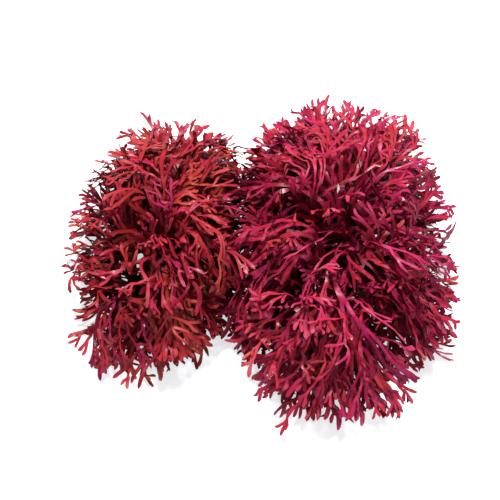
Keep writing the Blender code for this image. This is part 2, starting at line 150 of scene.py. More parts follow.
ribbon = {
    "thickness": 0.7,
    "stipe": 2.0,
    "flares": (4.8, 4.2, 3.5, 3.0),
    "finger": 2.35,
    "forkFrom": 6.0,
    "forksAt": ((0.48,), (0.36, 0.62), (0.27, 0.48, 0.7)),
    "longFans": (22, 43),  # mm of reach past which a fan forks in three rows, and in four
    "shortestFan": 14,
    "split": (0.4, 0.6),
    "stray": 0.14,
    "earlyTurn": 0.6,
    "earlyTips": 0.45,
    "earlyReach": (0.62, 0.9),
    "tipReach": (0.86, 1.04),
    "shortestFinger": 5.5,
    "longFinger": 12.0,
    "longestFinger": 14.0,
    "shortestStretch": 5.0,
    "fingerWidths": (0.85, 1.2),
    "flareWidths": (0.85, 1.15),
    "forkPlaces": (0.9, 1.1),
    "stipeTwist": 0.2,
    "stretchTwist": 0.45,
    "fingerTwist": 0.55,
    "slope": 0.24,
    "crotch": 0.3,
    "tipWidth": 0.6,
    "fingerMiddle": 0.6,
}
between = {  # the finer fronds' places, and which of the nearest thalli they grow from
    "place": 0.6, "turn": 10, "highRunner": 0.5,
    "fillPicks": (0, 0, 1), "highPicks": (2, 3, 4), "lowPicks": (0, 0, 1, 2, 4),
}
search = {
    "clearance": 0.45, "tries": 60, "shortest": 0.55, "rootZone": 13.0,
    "seed": 41, "clumpSeeds": 1000003, "frondSeeds": 1009, "fineSeeds": 5000,
}


# where fronds stand and where they reach to, as in the solids

Place = namedtuple("Place", "azimuth level share runs", defaults=(False,))


def planPoint(lobe, u, v):
    y = lobe["halfDepth"] * v
    x = lobe["x"] + lobe["halfWidth"] * u + lobe["slant"] * y
    return Vector((x, lobe["y"] + y, stand["rootHeight"]))


def domePoint(lobe, azimuth, level):
    c, s = math.cos(azimuth), math.sin(azimuth)
    n, m = stand["squareness"], stand["fullness"]
    reach = (abs(c) ** n + abs(s) ** n) ** (-1 / n) * max(0.0, 1 - level**m) ** (1 / m)
    point = planPoint(lobe, reach * c, reach * s)
    point.z = lobe["height"] * level
    return point


def domeNormal(lobe, point):
    y = point.y - lobe["y"]
    return Vector((
        (point.x - lobe["x"] - lobe["slant"] * y) / lobe["halfWidth"] ** 2,
        y / lobe["halfDepth"] ** 2,
        point.z / lobe["height"] ** 2,
    )).normalized()


def shareOf(lobe, x, y, z):  # of the lobe's sizes that a point lies at; also takes arrays
    n, m = stand["squareness"], stand["fullness"]
    y = y - lobe["y"]
    u = abs(x - lobe["x"] - lobe["slant"] * y) / lobe["halfWidth"]
    plan = (u**n + abs(y / lobe["halfDepth"]) ** n) ** (1 / n)
    return (plan**m + (z / lobe["height"]) ** m) ** (1 / m)


def outermost(points):
    return max(0.0, *(min(shareOf(lobe, p.x, p.y, p.z) for lobe in lobes.values()) for p in points))


class Axis:
    steps = 24

    def __init__(self, root, rise, target, arrival, roll, twist):
        a, b = root + rise, target - arrival
        points = []
        for i in range(self.steps + 1):
            t = i / self.steps
            points.append(
                root * (1 - t) ** 3 + a * 3 * t * (1 - t) ** 2 + b * 3 * t * t * (1 - t) + target * t**3
            )
        self.points = points
        self.lengths = [0.0]
        for p, q in zip(points, points[1:]):
            self.lengths.append(self.lengths[-1] + (q - p).length)
        self.length = self.lengths[-1]
        tangents = []
        for i in range(len(points)):
            low, high = max(0, i - 1), min(self.steps, i + 1)
            tangents.append((points[high] - points[low]).normalized())
        self.tangents = tangents
        side = tangents[0].cross(Vector((0, 0, 1)))
        if side.length < 0.05:
            side = tangents[0].cross(Vector((1, 0, 0)))
        side.normalize()
        side = Quaternion(tangents[0], roll) @ side
        self.sides = [side]
        for i in range(1, len(points)):
            side = tangents[i - 1].rotation_difference(tangents[i]) @ side
            side = Quaternion(tangents[i], twist / self.steps) @ side
            side = (side - tangents[i] * side.dot(tangents[i])).normalized()
            self.sides.append(side)

    def at(self, distance):
        if distance >= self.length:
            over = distance - self.length
            return self.points[-1] + self.tangents[-1] * over, self.tangents[-1], self.sides[-1]
        i = 0
        while self.lengths[i + 1] < distance:
            i += 1
        part = self.lengths[i + 1] - self.lengths[i]
        f = max(0.0, (distance - self.lengths[i]) / part)
        return (
            self.points[i].lerp(self.points[i + 1], f),
            self.tangents[i].lerp(self.tangents[i + 1], f).normalized(),
            self.sides[i].lerp(self.sides[i + 1], f).normalized(),
        )


class Branch:
    def __init__(self, parent, start, end, angle, width, twist, slope):
        self.parent, self.start, self.end = parent, start, end
        self.angle, self.width, self.twist = angle, width, twist
        self.lift = (parent.lift if parent else 0.0) + slope * (end - start)
        self.children = []


def stray(rng, most):
    return rng.uniform(-most, most)


def growFan(rng, reach, levels, spread, forksAt=ribbon["forksAt"], earlyTips=ribbon["earlyTips"]):
    flares, forkFrom = ribbon["flares"], ribbon["forkFrom"]
    stipe = Branch(None, 0.0, forkFrom, 0.0, flares[0], stray(rng, ribbon["stipeTwist"]), 0.0)

    def fork(parent, low, high, level):
        middle = low + (high - low) * rng.uniform(*ribbon["split"])
        for a, b in ((low, middle), (middle, high)):
            last = level == levels or (level >= 2 and rng.random() < earlyTips)
            angle = (a + b) / 2 + stray(rng, ribbon["stray"]) * (b - a)
            if last:
                end = reach * rng.uniform(*ribbon["earlyReach" if level < levels else "tipReach"])
                end = max(end, parent.end + ribbon["shortestFinger"])
                end = min(end, parent.end + ribbon["longestFinger"])
                width = ribbon["finger"] * rng.uniform(*ribbon["fingerWidths"])
                twist = stray(rng, ribbon["fingerTwist"])
            else:
                at = forkFrom + (reach - forkFrom) * forksAt[levels - 2][level - 1]
                end = max(parent.end + ribbon["shortestStretch"], at * rng.uniform(*ribbon["forkPlaces"]))
                width = flares[min(level, len(flares) - 1)] * rng.uniform(*ribbon["flareWidths"])
                twist = stray(rng, ribbon["stretchTwist"])
            branch = Branch(parent, parent.end, end, angle, width, twist, stray(rng, ribbon["slope"]))
            parent.children.append(branch)
            if not last:
                fork(branch, a, b, level + 1)

    fork(stipe, -spread / 2, spread / 2, 1)
    return stipe


def turned(t):  # share of a branch's turn that is made at share t of its length
    return t * (1 + ribbon["earlyTurn"] - ribbon["earlyTurn"] * t)


class Frond:
    def __init__(self, axis, fan, stipeLength):
        self.axis, self.fan, self.stipeLength = axis, fan, stipeLength

    def section(self, branch, t, width):
        parent = branch.parent
        if parent is None:
            along, across, lift, heading = self.stipeLength * t, 0.0, 0.0, 0.0
            twist = branch.twist * t
        else:
            radius = branch.start + (branch.end - branch.start) * t
            angle = parent.angle + (branch.angle - parent.angle) * turned(t)
            rate = 1 + ribbon["earlyTurn"] - 2 * ribbon["earlyTurn"] * t
            turning = (branch.angle - parent.angle) * rate / (branch.end - branch.start)
            along = self.stipeLength - ribbon["forkFrom"] + radius * math.cos(angle)
            across = radius * math.sin(angle)
            heading = angle + math.atan(radius * turning)
            lift = parent.lift + (branch.lift - parent.lift) * t
            twist = parent.twist + (branch.twist - parent.twist) * t
        position, tangent, side = self.axis.at(along)
        normal = tangent.cross(side)
        centre = position + side * across + normal * lift
        forward = tangent * math.cos(heading) + side * math.sin(heading)
        lateral = side * math.cos(heading) - tangent * math.sin(heading)
        lateral = Quaternion(forward, twist) @ lateral
        normal = lateral.cross(forward)
        lowest = centre.z - abs(lateral.z) * width / 2 - abs(normal.z) * ribbon["thickness"] / 2
        if lowest < 0:
            centre.z -= lowest
        return centre, forward, lateral, normal

    def outline(self):
        points, normals, triangles = [], [], []

        def add(position, normal):
            low = position.z - abs(normal.z) * ribbon["thickness"] / 2
            if low < 0:
                position = position - Vector((0, 0, low))
            points.append(position)
            normals.append(normal)
            return len(points) - 1

        def edgePair(branch, t, width):
            centre, _, lateral, normal = self.section(branch, t, width)
            return add(centre - lateral * width / 2, normal), add(centre + lateral * width / 2, normal)

        def join(first, second):
            triangles.append((first[0], first[1], second[1]))
            triangles.append((first[0], second[1], second[0]))

        def run(branch, first):
            if branch.children:
                last = edgePair(branch, 1.0, branch.width)
                join(first, last)
                centre, forward, _, normal = self.section(branch, 1.0, branch.width)
                crotch = add(centre + forward * branch.width * ribbon["crotch"], normal)
                triangles.append((last[0], last[1], crotch))
                run(branch.children[0], (last[0], crotch))
                run(branch.children[1], (crotch, last[1]))
            else:
                if branch.end - branch.start > ribbon["longFinger"]:
                    middle = edgePair(branch, ribbon["fingerMiddle"], branch.width)
                    join(first, middle)
                    first = middle
                join(first, edgePair(branch, 1.0, branch.width * ribbon["tipWidth"]))

        root = edgePair(self.fan, 0.0, ribbon["stipe"])
        half = edgePair(self.fan, 0.5, ribbon["stipe"])
        join(root, half)
        run(self.fan, half)
        return points, normals, triangles


def ribbonMesh(outline, extra=0.0, beyond=None):
    points, normals, triangles = outline
    half = ribbon["thickness"] / 2 + extra
    vertices = []
    for p, n in zip(points, normals):
        vertices.append(p + n * half)
        vertices.append(p - n * half)
    if beyond is not None:
        near = {i for i, p in enumerate(points) if (p - beyond).length < search["rootZone"]}
        triangles = [t for t in triangles if not near.intersection(t)]
    faces, count = [], {}
    for a, b, c in triangles:
        faces.append((2 * a, 2 * b, 2 * c))
        faces.append((2 * a + 1, 2 * c + 1, 2 * b + 1))
        for i, j in ((a, b), (b, c), (c, a)):
            count[(i, j)] = count.get((i, j), 0) + 1
    for i, j in count:
        if (j, i) not in count:
            faces.append((2 * j, 2 * i, 2 * i + 1))
            faces.append((2 * j, 2 * i + 1, 2 * j + 1))
    return vertices, faces


def holdfastMesh(root):
    n = foot["sides"]
    vertices, faces = [], []
    for radius, z in ((foot["radius"], 0.0), (foot["top"], foot["height"])):
        for i in range(n):
            a = 2 * math.pi * i / n
            r = radius * (1 + foot["bulge"] * math.sin(foot["bulges"] * a + root.x))
            vertices.append(Vector((root.x + r * math.cos(a), root.y + r * math.sin(a), z)))
    faces.append(tuple(reversed(range(n))))
    faces.append(tuple(range(n, 2 * n)))
    for i in range(n):
        j = (i + 1) % n
        faces.append((i, j, n + j, n + i))
    return vertices, faces


def treeOf(mesh):
    return BVHTree.FromPolygons(mesh[0], mesh[1], all_triangles=True)


def crossesItself(mesh):
    faces = mesh[1]
    tree = treeOf(mesh)
    return any(i < j and not set(faces[i]) & set(faces[j]) for i, j in tree.overlap(tree))


class Obstacle:
    def __init__(self, plant, mesh):
        self.plant = plant
        self.tree = BVHTree.FromPolygons(*mesh)
        xs, ys, zs = zip(*mesh[0])
        self.low, self.high = (min(xs), min(ys), min(zs)), (max(xs), max(ys), max(zs))


class Grown(Obstacle):
    def __init__(self, plant, root, frond, outline, place):
        super().__init__(plant, ribbonMesh(outline))
        self.frond, self.place = frond, place
        self.free = treeOf(ribbonMesh(outline, 0.0, root))


def boxesMeet(a, low, high, gap):
    return all(a.low[i] - gap < high[i] and a.high[i] + gap > low[i] for i in range(3))


def downhill(outward):
    way = outward.cross(Vector((0, 0, 1))).cross(outward)
    return -way.normalized() if way.length > 0.01 else Vector((1, 0, 0))


def besideRoot(root, flat):
    start = root + flat * stand["rootRing"]
    start.z = stand["rootHeight"]
    return start


def endDirection(rng, lobe, root, target, outward, level, leaning):
    onward = downhill(outward)
    if level > stand["onwardLevel"] or not lobe["inner"]:
        onward = target - root
        onward = (onward - outward * onward.dot(outward)).normalized()
    aside = Quaternion(outward, rng.gauss(0, stand["headingStray"])) @ onward
    lean = rng.uniform(*habits["combed" if leaning else "free"]["lean"])
    if level < stand["rimLevel"]:
        lean = rng.uniform(*stand["rimLean"])
        aside = Vector((-outward.y, outward.x, 0)) * rng.choice((-1, 1))
    lean = math.radians(lean)
    return (outward * math.cos(lean) + aside * math.sin(lean)).normalized()


def tryFrond(rng, lobe, root, azimuth, level, share, shrink):
    azimuth += stray(rng, stand["azimuthStray"])
    level = min(1.0, max(0.0, level + stray(rng, stand["levelStray"])))
    target = domePoint(lobe, azimuth, level)
    outward = domeNormal(lobe, target)
    target = planPoint(lobe, 0, 0) + (target - planPoint(lobe, 0, 0)) * share
    combed = level > stand["combedLevel"] and outward.dot(stand["combed"]) > stand["combedFacing"]
    habit = habits["combed" if combed else "free"]
    leaning = combed or share < stand["innerBelow"]
    arrival = endDirection(rng, lobe, root, target, outward, level, leaning)
    target = root + (target - root) * shrink * rng.uniform(*stand["reach"])
    flat = Vector((target.x - root.x, target.y - root.y, 0))
    if flat.length < 1:
        flat = Vector((math.cos(azimuth), math.sin(azimuth), 0))
    flat.normalize()
    start = besideRoot(root, flat)
    span = (target - start).length
    low, more = habit["steep"]
    steep = math.radians(low + more * level + rng.uniform(*stand["steepStray"]))
    rise = flat * math.cos(steep) + Vector((0, 0, math.sin(steep)))
    roll = rng.gauss(0, habit["roll"])
    climb, glide = rise * (span * habit["climb"]), arrival * (span * habit["glide"])
    axis = Axis(start, climb, target, glide, roll, stray(rng, habit["twist"]))
    stipeLength = axis.length * rng.uniform(*habit["stipe"])
    reach = max(axis.length - stipeLength, ribbon["shortestFan"]) + ribbon["forkFrom"]
    levels = 2 + sum(reach > long for long in ribbon["longFans"])
    spread = math.radians(rng.uniform(*habit["spread"]))
    return Frond(axis, growFan(rng, reach, levels, spread), stipeLength)


# long ribbons that rise steeply from the roots and then run along the surface

runner = {
    "reach": (0.94, 1.03),
    "shorter": 0.25,  # how much of the shrinking of late tries it takes part in
    "climb": (1.1, 1.42),
    "glide": (0.5, 0.8),
    "steep": (58, 84),
    "lean": (24, 60),
    "leanOver": 75,  # degrees more for each level above this one
    "leanLevel": 0.3,
    "stipe": (0.24, 0.36),
    "spread": (26, 46),
    "wander": 0.6,
    "bend": 0.45,
    "roll": 0.15,
    "twist": 0.25,
    "slim": (0.52, 0.72),
    "broad": (0.85, 1.1),
    "broadShare": 0.2,
    "slimTip": 0.98,
    "untwist": 0.45,
    "rows": 4,
    "forksAt": (None, None, (0.3, 0.56, 0.83)),
    "earlyTips": 0.2,
}
slimmer = {"branches": 0.78, "tips": 0.8, "twists": 0.9}  # of the solids' fronds


def slimDown(branch, share, tipShare, untwist):
    branch.width *= share if branch.children else tipShare
    branch.twist *= untwist
    for child in branch.children:
        slimDown(child, share, tipShare, untwist)


def tryRunner(rng, lobe, root, azimuth, level, share, shrink):
    azimuth += stray(rng, stand["azimuthStray"])
    centre = planPoint(lobe, 0, 0)
    target = domePoint(lobe, azimuth, level)
    outward = domeNormal(lobe, target)
    less = 1 - runner["shorter"] * (1 - shrink)
    target = centre + (target - centre) * share * less * rng.uniform(*runner["reach"])
    aside = Quaternion(outward, rng.gauss(0, runner["bend"])) @ downhill(outward)
    over = max(0.0, level - runner["leanLevel"])
    lean = math.radians(rng.uniform(*runner["lean"]) + runner["leanOver"] * over)
    arrival = (outward * math.cos(lean) + aside * math.sin(lean)).normalized()
    flat = Vector((target.x - root.x, target.y - root.y, 0)).normalized()
    start = besideRoot(root, flat)
    steep = math.radians(rng.uniform(*runner["steep"]))
    flat = Quaternion((0, 0, 1), rng.gauss(0, runner["wander"])) @ flat
    rise = flat * math.cos(steep) + Vector((0, 0, math.sin(steep)))
    rise *= lobe["height"] * share * rng.uniform(*runner["climb"])
    glide = (target - start).length * rng.uniform(*runner["glide"])
    twist = rng.uniform(-1, 1) * runner["twist"]
    axis = Axis(start, rise, target, arrival * glide, rng.gauss(0, runner["roll"]), twist)
    stipeLength = axis.length * rng.uniform(*runner["stipe"])
    reach = axis.length - stipeLength + ribbon["forkFrom"]
    spread = math.radians(rng.uniform(*runner["spread"]))
    fan = growFan(rng, reach, runner["rows"], spread, runner["forksAt"], runner["earlyTips"])
    slim = rng.uniform(*runner["broad" if rng.random() < runner["broadShare"] else "slim"])
    slimDown(fan, slim, runner["slimTip"], runner["untwist"])
    return Frond(axis, fan, stipeLength)


def inHollow(outline):
    points, _, triangles = outline
    middles = [(points[a] + points[b] + points[c]) / 3 for a, b, c in triangles]
    for hollow in hollows.values():
        start, end = Vector(hollow["from"]), Vector(hollow["to"])
        way = end - start
        for p in points + middles:
            if p.z > hollowFloor:
                share = max(0.0, min(1.0, (p.xy - start).dot(way) / way.length_squared))
                if (p.xy - start - way * share).length < hollow["radius"]:
                    return True
    return False


def placeFrond(plant, root, lobe, place, grown, holdfasts, number, tries, strict):
    best, fewest = None, None
    clearance = search["clearance"] if strict else 0.0
    furthest = stand["furthest" if strict else "furthestFine"]
    for attempt in range(tries):
        seed = search["seed"] * search["clumpSeeds"] + number * search["frondSeeds"] + attempt
        rng = random.Random(seed)
        shrink = 1.0 - (1.0 - search["shortest"]) * max(0, attempt - tries // 2) / (tries / 2)
        frond = (tryRunner if place.runs else tryFrond)(rng, lobe, root, *place[:3], shrink)
        outline = frond.outline()
        if outermost(outline[0]) > furthest or crossesItself(ribbonMesh(outline)):
            continue
        if not strict and inHollow(outline):
            continue
        wide = ribbonMesh(outline, clearance)
        xs, ys, zs = zip(*wide[0])
        low, high = (min(xs), min(ys), min(zs)), (max(xs), max(ys), max(zs))
        near = [g for g in grown if boxesMeet(g, low, high, search["clearance"])]
        if strict:
            tree = treeOf(wide)
            if any(g.plant != plant and g.tree.overlap(tree) for g in near + holdfasts):
                continue
        free = treeOf(ribbonMesh(outline, clearance, root))
        touches = sum(1 for g in near if (g.plant == plant or not strict) and g.free.overlap(free))
        if fewest is None or touches < fewest:
            best, fewest = Grown(plant, root, frond, outline, place), touches
        if touches == 0:
            break
    return best


def surfacePlaces(lobe):
    outer, inner = lobe["outer"], lobe["inner"]
    places = []
    for i in range(outer):
        places.append(Place(i * golden, ((i + stand["firstPlace"]) / outer) ** stand["levelPower"], 1.0))
    low, high = stand["innerLevels"]
    for i in range(inner):
        places.append(Place(i * golden + 1, low + (high - low) * (i + 0.5) / inner, stand["innerShare"]))
    return places


def finePlaces(lobe):
    for count, share, low, high in lobe["fill"]:
        for i in range(count):
            level = (low + (high - low) * (i + between["place"]) / count) ** stand["levelPower"]
            yield Place(i * golden + between["turn"] * share, level, share)
    for count, share, low, high in lobe["runners"]:
        for i in range(count):
            level = low + (high - low) * (i + 0.5) / count
            yield Place(i * golden + between["turn"] * share, level, share, True)


def rootsOf(side):
    lobe = lobes[side]
    count, first = stand["rings"][side]
    azimuths = [math.radians(first) + 2 * math.pi * i / count for i in range(count)]
    ring = [(stand["ringShare"] * math.cos(a), stand["ringShare"] * math.sin(a)) for a in azimuths]
    named = [(f"{side}_thallus_{i + 1}", planPoint(lobe, u, v)) for i, (u, v) in enumerate(ring)]
    crowns = enumerate(stand["crowns"][side])
    named += [(f"{side}_crown_{i + 1}", planPoint(lobe, u, v)) for i, (u, v) in crowns]
    return [{"name": n, "side": side, "root": r, "fronds": [], "fills": []} for n, r in named]


def nearestFirst(plants, lobe, place):
    centre = planPoint(lobe, 0, 0)
    above = domePoint(lobe, place.azimuth, place.level)
    above.z = stand["rootHeight"]
    near = centre + (above - centre) * (stand["ringShare"] if lobe["inner"] else 1)
    return sorted(plants, key=lambda plant: (plant["root"] - near).length)


def pickSolid(rng, place):  # which of the nearest thalli a frond of the solids grows from
    crossing = place.level > stand["crossingLevel"] and rng.random() < stand["crossing"]
    if place.level > stand["topLevel"]:
        return rng.randrange(stand["topChoice"])
    return rng.choice((1, 2)) if crossing else 0


def pickFine(rng, place):
    if place.runs:
        high = place.level > between["highRunner"]
        return rng.choice(between["highPicks" if high else "lowPicks"])
    if place.level > stand["topLevel"]:
        return rng.randrange(stand["topChoice"])
    return rng.choice(between["fillPicks"])


def thalli():
    plants = {side: rootsOf(side) for side in stand["rings"]}
    plants["waist"] = plants["left"] + plants["right"]
    rng = random.Random(search["seed"])
    for side, lobe in lobes.items():
        for place in surfacePlaces(lobe):
            order = nearestFirst(plants[side], lobe, place)
            order[pickSolid(rng, place)]["fronds"].append((lobe, place))
        own = random.Random(len(side))  # the finer fronds' own draws leave those of the solids alone
        for place in finePlaces(lobe):
            order = nearestFirst(plants[side], lobe, place)
            order[pickFine(own, place)]["fills"].append((lobe, place))
    return plants["waist"]


def growAll(plants):
    holdfasts = [Obstacle(i, holdfastMesh(plant["root"])) for i, plant in enumerate(plants)]
    grown = []

    def growJobs(jobs, firstNumber, tries, strict):
        for number, (_, index, _, lobe, place) in enumerate(sorted(jobs, key=lambda job: job[:3])):
            args = (index, plants[index]["root"], lobe, place, grown, holdfasts)
            found = placeFrond(*args, firstNumber + number, tries, strict)
            if found:
                grown.append(found)

    solid, fills = [], []
    for i, plant in enumerate(plants):
        solid += [((-place.level,), i, k, lobe, place) for k, (lobe, place) in enumerate(plant["fronds"])]
        for k, (lobe, place) in enumerate(plant["fills"]):
            fills.append(((-place.share, -place.level), i, k, lobe, place))
    growJobs(solid, 0, search["tries"], True)
    low = [min(g.low[i] for g in grown) for i in range(2)]
    high = [max(g.high[i] for g in grown) for i in range(2)]
    shift = Vector((-(low[0] + high[0]) / 2, -(low[1] + high[1]) / 2, 0))
    solidCount = len(grown)
    growJobs(fills, search["fineSeeds"], fine["tries"], False)
    return grown, shift, solidCount


# fine ribbons: the same fronds with rounded, waved and toothed blades

fine = {
    "tries": 8,
    "step": 2.35,  # mm between cross-sections, and between those deeper inside
    "deepStep": 3.6,
    "deepBelow": 0.9,  # share of the lobe's sizes under which a frond counts as deeper inside
    "plainBelow": 0.7,  # and under which it has no forked tips or side branches
    "stipeStep": 1.6,
    "edge": 0.2,  # mm thick at the edges and in the middle
    "middle": 0.3,
    "slim": 0.96,
    "neck": 0.56,
    "round": 1.15,  # length of a tip's rounding, in widths, and at most this share of the finger
    "tipMost": 0.65,
    "tipClear": 1.15,  # no other cross-sections nearer to the end, and those of the tip
    "tipRings": (0.95, 0.4, 0.1, 0.0),
    "flareFrom": 0.3,  # where a stretch starts to widen towards its fork, and how abruptly
    "flarePower": 2.2,
    "neckAt": 0.35,
    "bodyAt": 0.4,
    "swell": (0.92, 0.1, 0.6),  # a finger's width at first, what it gains, and up to where
    "bluntness": 0.2,
    "wave": 0.4,
    "waveLength": (9, 15),
    "sway": 0.7,
    "swayLength": (20, 34),
    "calm": 14,  # mm from the root that the waves need to grow
    "bow": 0.08,
    "ragged": 0.06,
    "ruffle": 0.25,
    "ruffleRates": (1.7, 1.6),
    "cup": 0.06,
    "cupping": (-0.6, 1.0),
    "crotch": 0.3,
    "hue": (0.42, 0.15),
    "hueDrift": 0.09,
    "seeds": 7000,
}
tooth = {"share": 0.07, "length": (1.2, 3.0), "forward": 0.8, "between": (0.2, 0.93)}
tipFork = {
    "share": 0.3,  # of the fingers that end in a fork, and of those with a side spur
    "spurs": 0.16,
    "onRunners": 0.4,
    "shortest": 6,
    "at": (0.3, 0.6),
    "apart": (1.4, 2.2),
    "even": (0.65, 1.0),
    "spur": (2.6, 4.6),
    "spurLean": 0.35,
    "farLean": 1.1,
    "flare": 1.22,
    "width": (0.74, 0.95),
    "twist": 0.6,
    "slope": 0.3,
}
tine = {
    "share": 0.7,  # of the longer stretches between forks that have a side branch
    "shortest": 7.5,
    "at": (0.35, 0.65),
    "length": (3.2, 7.5),
    "lean": (38, 68),
    "width": (0.75, 1.0),
    "flare": 1.08,
    "slope": 0.25,
}


def smooth(t):
    t = max(0.0, min(1.0, t))
    return t * t * (3 - 2 * t)


class Blade:
    def __init__(self, grown, piece, rng):
        self.frond, self.piece, self.rng = grown.frond, piece, rng
        fan, share = self.frond.fan, grown.place.share
        self.phase = [rng.uniform(0, circle) for _ in range(4)]
        self.rate = circle / rng.uniform(*fine["waveLength"])
        self.swayRate = circle / rng.uniform(*fine["swayLength"])
        self.step = fine["deepStep" if share < fine["deepBelow"] else "step"]
        self.runs = grown.place.runs
        if not self.runs:
            slimDown(fan, slimmer["branches"], slimmer["tips"], slimmer["twists"])
        if share > fine["plainBelow"]:
            self.forkTips(fan)
            self.addTines(fan)
        self.cup = rng.uniform(*fine["cupping"]) * fine["cup"]
        fan.bow = 0.0
        fan.hue = self.hue = min(0.95, max(0.05, rng.gauss(*fine["hue"])))
        self.total = self.frond.stipeLength + self.furthest(fan) - ribbon["forkFrom"]

    def forkTips(self, branch):
        if branch.children:
            for child in list(branch.children):
                self.forkTips(child)
            return
        length, rng = branch.end - branch.start, self.rng
        kind = rng.random()
        often = tipFork["onRunners"] if self.runs else 1
        if length < tipFork["shortest"] or kind > (tipFork["share"] + tipFork["spurs"]) * often:
            return
        share = rng.uniform(*tipFork["at"])
        at, end = branch.start + length * share, branch.end
        even = kind < tipFork["share"]
        apart = rng.uniform(*tipFork["apart"]) / at
        turn = rng.choice((-1, 1))
        second = at + ((end - at) * rng.uniform(*tipFork["even"]) if even else rng.uniform(*tipFork["spur"]))
        near = branch.angle - turn * apart * (1 if even else tipFork["spurLean"])
        far = branch.angle + turn * apart * tipFork["farLean"]
        low = branch.parent.lift
        branch.end, branch.lift = at, low + (branch.lift - low) * share
        width = branch.width
        branch.width = width * tipFork["flare"]
        for angle, stop in sorted(((near, end), (far, second))):
            wide = width * rng.uniform(*tipFork["width"])
            twist = stray(rng, tipFork["twist"])
            slope = stray(rng, tipFork["slope"])
            branch.children.append(Branch(branch, at, stop, angle, wide, twist, slope))

    def addTines(self, branch):
        length, rng = branch.end - branch.start, self.rng
        children = branch.children
        if (
            branch.parent and (children or not self.runs)
            and length > tine["shortest"] and rng.random() < tine["share"]
        ):
            self.addTine(branch, length, children)
        for child in children:
            self.addTines(child)

    def addTine(self, branch, length, children):
        rng, parent = self.rng, branch.parent
        share = rng.uniform(*tine["at"])
        at = branch.start + length * share
        angle = parent.angle + (branch.angle - parent.angle) * turned(share)
        reach, lean = rng.uniform(*tine["length"]), math.radians(rng.uniform(*tine["lean"]))
        away = rng.choice((-1, 1)) * reach * math.sin(lean) / (at + reach * math.cos(lean))
        width = branch.width
        upper = Branch(branch, at, branch.end, branch.angle, width, branch.twist, 0)
        upper.lift, upper.children = branch.lift, children
        for child in children:
            child.parent = upper
        end, wide = at + reach * math.cos(lean), min(width, ribbon["finger"]) * rng.uniform(*tine["width"])
        side = Branch(branch, at, end, angle + away, wide, branch.twist, 0)
        branch.lift = parent.lift + (branch.lift - parent.lift) * share
        side.lift = branch.lift + stray(rng, tine["slope"]) * reach
        branch.end, branch.angle, branch.width = at, angle, width * tine["flare"]
        branch.twist = parent.twist + (branch.twist - parent.twist) * share
        branch.children = [upper, side] if away > 0 else [side, upper]

    def setHue(self, branch):
        for child in branch.children:
            child.hue = min(1.0, max(0.0, branch.hue + self.rng.gauss(0, fine["hueDrift"])))
            child.bow = self.rng.gauss(0, fine["bow"]) * (child.end - child.start)
            self.setHue(child)

    def furthest(self, branch):
        return max([branch.end] + [self.furthest(child) for child in branch.children])

    def along(self, branch, t):
        if branch.parent is None:
            return self.frond.stipeLength * t
        return self.frond.stipeLength - ribbon["forkFrom"] + branch.start + (branch.end - branch.start) * t

    def width(self, branch, t, first):
        if branch.children:
            neck = branch.width * fine["neck"]
            widening = max(0.0, (t - fine["flareFrom"]) / (1 - fine["flareFrom"])) ** fine["flarePower"]
            return first + (neck - first) * smooth(t / fine["neckAt"]) + (branch.width - neck) * widening
        least, gain, until = fine["swell"]
        body = branch.width * fine["slim"] * (least + gain * smooth(t / until))
        wide = first + (body - first) * smooth(t / fine["bodyAt"])
        left = (1 - t) * (branch.end - branch.start)
        r = branch.width * fine["round"]
        if left < r:
            wide *= max(fine["bluntness"], math.sqrt(max(0.0, 1 - (1 - left / r) ** 2)))
        return wide

    def ring(self, branch, t, width):
        centre, forward, lateral, normal = self.frond.section(branch, t, width)
        d = self.along(branch, t)
        grow = min(1.0, d / fine["calm"])
        leftRate, rightRate = fine["ruffleRates"]
        lift = fine["wave"] * grow * math.sin(self.rate * d + self.phase[0])
        left = fine["ruffle"] * grow * math.sin(self.rate * leftRate * d + self.phase[1])
        right = fine["ruffle"] * grow * math.sin(self.rate * rightRate * d + self.phase[2])
        edge, middle = fine["edge"] / 2, fine["middle"] / 2
        near, far = (width / 2 * (1 + self.rng.gauss(0, fine["ragged"])) for _ in range(2))
        sway = fine["sway"] * grow * math.sin(self.swayRate * d + self.phase[3])
        sway += branch.bow * math.sin(math.pi * t)
        centre = centre + normal * lift + lateral * sway
        cup = self.cup * width
        points = [
            centre - lateral * near + normal * (left + edge),
            centre + normal * (cup + middle),
            centre + lateral * far + normal * (right + edge),
            centre - lateral * near + normal * (left - edge),
            centre + normal * (cup - middle),
            centre + lateral * far + normal * (right - edge),
        ]
        return points, d, forward, lateral

    def put(self, points, d, edges=(1, 0, 1, 1, 0, 1)):
        first = len(self.piece["vertices"])
        tone = min(1.0, d / self.total)
        for p, edge in zip(points, edges):
            self.piece["vertices"].append((p.x, p.y, max(p.z, 0.0)))
            self.piece["marks"] += (tone, self.hue, edge, 0.0)
        return list(range(first, first + len(points)))

    def join(self, a, b):
        self.piece["faces"] += (
            (a[0], a[1], b[1], b[0]),
            (a[1], a[2], b[2], b[1]),
            (a[3], b[3], b[4], a[4]),
            (a[4], b[4], b[5], a[5]),
        )

    def side(self, a, b, forward, outward, d):
        if self.rng.random() > tooth["share"]:
            self.piece["faces"].append((a[0], b[0], b[1], a[1]))
            return
        v = self.piece["vertices"]
        middle = sum((Vector(v[i]) for i in (*a, *b)), Vector()) / 4
        length = self.rng.uniform(*tooth["length"])
        tip = middle + (outward + forward * tooth["forward"]).normalized() * length
        tip = self.put([tip], d, (1,))[0]
        loop = (a[0], b[0], b[1], a[1])
        for i in range(4):
            self.piece["faces"].append((loop[i], loop[(i + 1) % 4], tip))

    def sharesAlong(self, branch, length):
        count = max(2, round(length / (self.step if branch.parent else self.step * fine["stipeStep"])))
        shares = [(i + 1) / count for i in range(count)]
        if branch.children:
            return shares
        tip = min(fine["tipMost"], branch.width * fine["round"] / length)
        shares = [s for s in shares if s < 1 - tip * fine["tipClear"]]
        return shares + [1 - tip * place for place in fine["tipRings"]]

